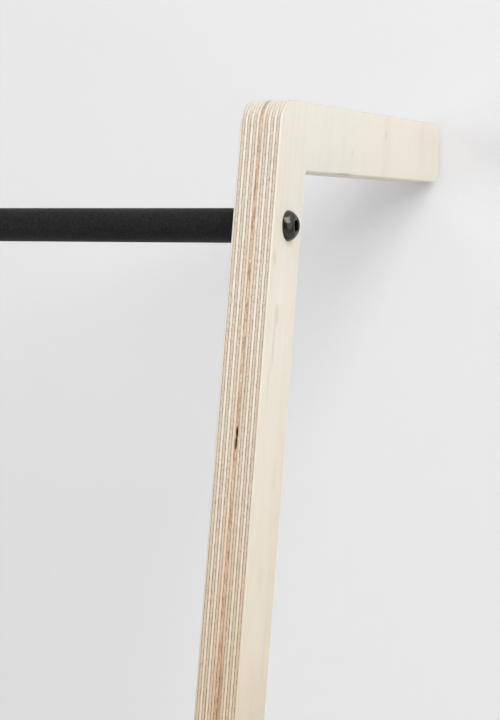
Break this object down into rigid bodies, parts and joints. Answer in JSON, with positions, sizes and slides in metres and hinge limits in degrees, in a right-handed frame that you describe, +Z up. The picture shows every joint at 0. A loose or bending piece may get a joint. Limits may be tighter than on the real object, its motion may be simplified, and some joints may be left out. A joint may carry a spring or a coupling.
{
  "type": "leaning clothes rack",
  "caption": "Clothes rack that leans on a wall: L-shaped birch plywood side frames joined by black round steel rails with button-head screws.",
  "frame": {"origin": "on the floor, at the centre of the rack's outer box", "axes": "+X along the rails to the right seen from the front, +Y at the wall, +Z up"},
  "size_m": [1.0094, 0.544, 1.7],
  "materials": {
    "birch_plywood": "matt clear lacquer over birch face veneer, fifteen-ply edges left bare",
    "black_powder_coat": "fine matt black powder coat",
    "black_screw": "black oxide, satin",
    "plug_steel": "zinc-plated, turned",
    "foot_rubber": "matt black rubber",
    "bumper_rubber": "translucent off-white rubber"
  },
  "bodies": {
    "root": {"left_side_frame": "birch_plywood", "right_side_frame": "birch_plywood", "upper_rail": "black_powder_coat", "lower_rail": "black_powder_coat", "upper_left_threaded_plug": "plug_steel", "upper_left_screw": "black_screw", "upper_right_threaded_plug": "plug_steel", "upper_right_screw": "black_screw", "lower_left_threaded_plug": "plug_steel", "lower_left_screw": "black_screw", "lower_right_threaded_plug": "plug_steel", "lower_right_screw": "black_screw", "left_rubber_foot": "foot_rubber", "left_wall_bumper": "bumper_rubber", "right_rubber_foot": "foot_rubber", "right_wall_bumper": "bumper_rubber"}
  },
  "joints": []
}
